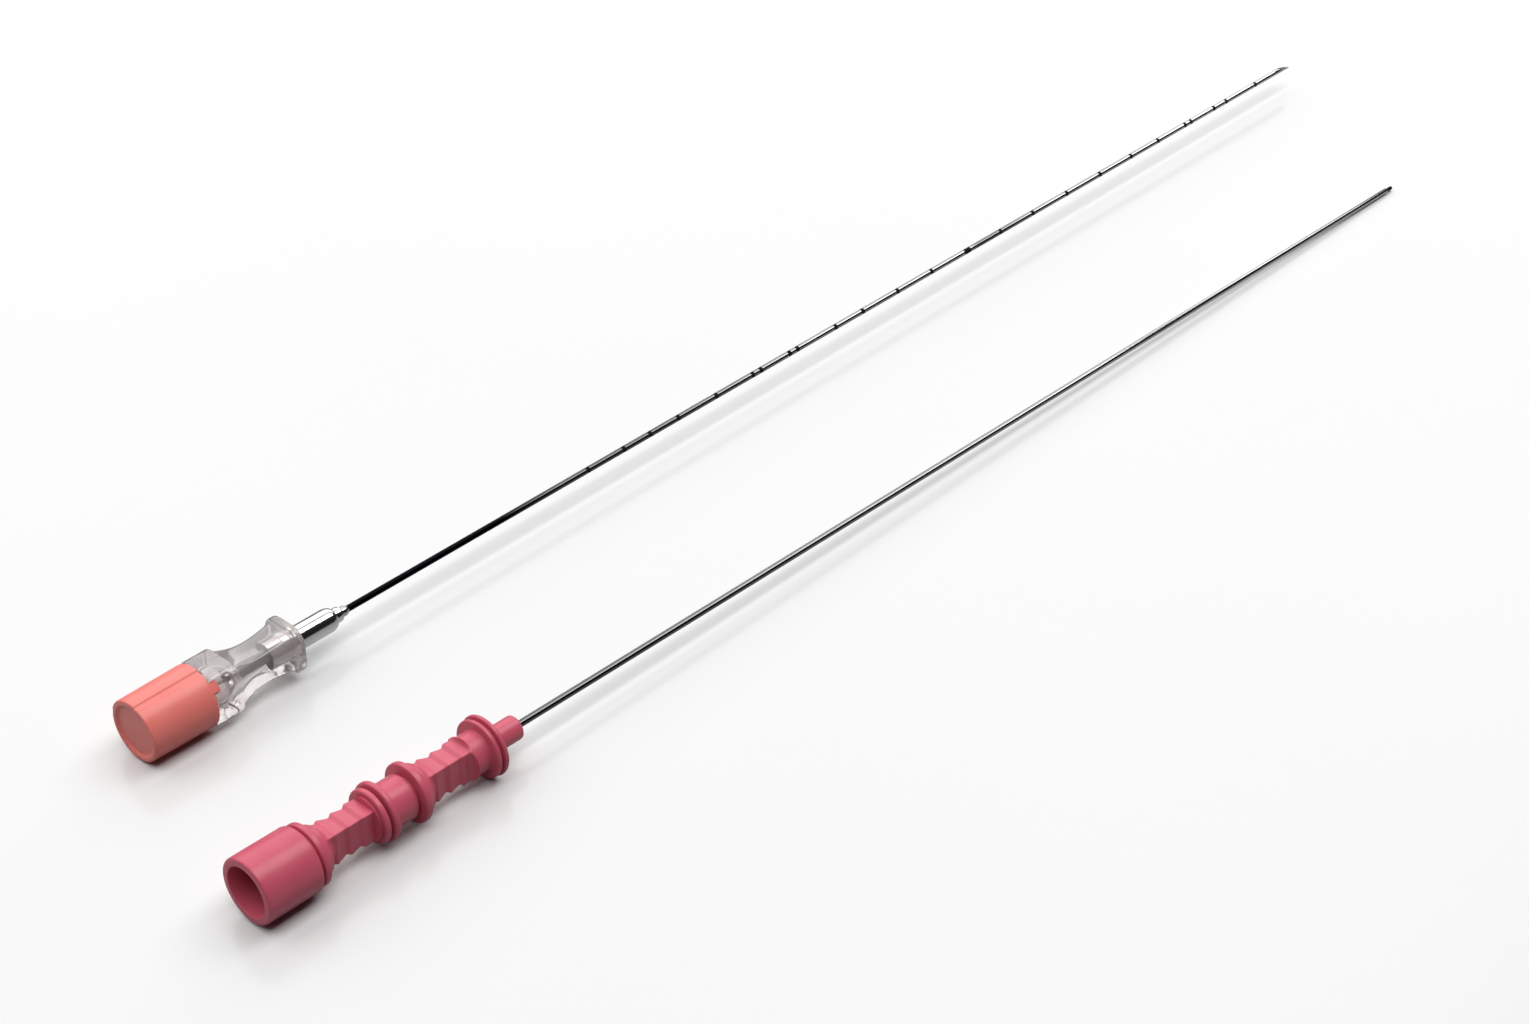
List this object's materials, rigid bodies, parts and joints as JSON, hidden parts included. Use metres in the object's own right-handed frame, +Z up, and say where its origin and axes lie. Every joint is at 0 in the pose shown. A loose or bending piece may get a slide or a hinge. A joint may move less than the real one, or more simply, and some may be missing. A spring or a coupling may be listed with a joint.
{
  "type": "puncture needle",
  "caption": "Graduated puncture needle with a keyed stylet in a clear hub, and a coaxial cannula pair with ribbed hubs that nest and pull apart.",
  "frame": {"origin": "middle of the floor area that both needles cover, at the level of the surface they lie on", "axes": "+X from the hubs to the tips along the marked needle, +Z up, the coaxial pair on the -Y side"},
  "size_m": [0.2376, 0.0368, 0.0079],
  "materials": {
    "salmon_plastic": "moulded, soft sheen",
    "rose_plastic": "moulded, satin",
    "clear_plastic": "clear moulded polycarbonate",
    "clear_glue": "cured clear adhesive",
    "polished_steel": "turned and polished stainless steel",
    "solder": "smooth solder fillet",
    "marked_steel": "drawn stainless tube with etched black depth marks",
    "cannula_steel": "drawn stainless tube",
    "inner_steel": "drawn stainless tube",
    "stylet_steel": "ground stainless wire"
  },
  "bodies": {
    "marked_needle": {"needle_hub": "clear_plastic", "ferrule": "polished_steel", "ferrule_bond": "clear_glue", "marked_cannula": "marked_steel", "nose_solder": "solder"},
    "stylet": {"stylet_cap": "salmon_plastic", "stylet_wire": "stylet_steel", "stylet_bond": "clear_glue"},
    "outer_set": {"front_hub": "rose_plastic", "front_bond": "clear_glue", "outer_cannula": "cannula_steel"},
    "inner_set": {"rear_hub": "rose_plastic", "rear_bond": "clear_glue", "inner_cannula": "inner_steel"}
  },
  "joints": [
    {"name": "stylet_slide", "type": "slide", "parent": "marked_needle", "child": "stylet", "axis": [-1, 0, 0], "range_m": [0, 0.235]},
    {"name": "pair_lift", "type": "slide", "parent": "marked_needle", "child": "outer_set", "axis": [0, 0, 1], "range_m": [0, 0.05]},
    {"name": "inner_slide", "type": "slide", "parent": "outer_set", "child": "inner_set", "axis": [-0.9998, 0.0134, 0.0174], "range_m": [0, 0.205]}
  ]
}
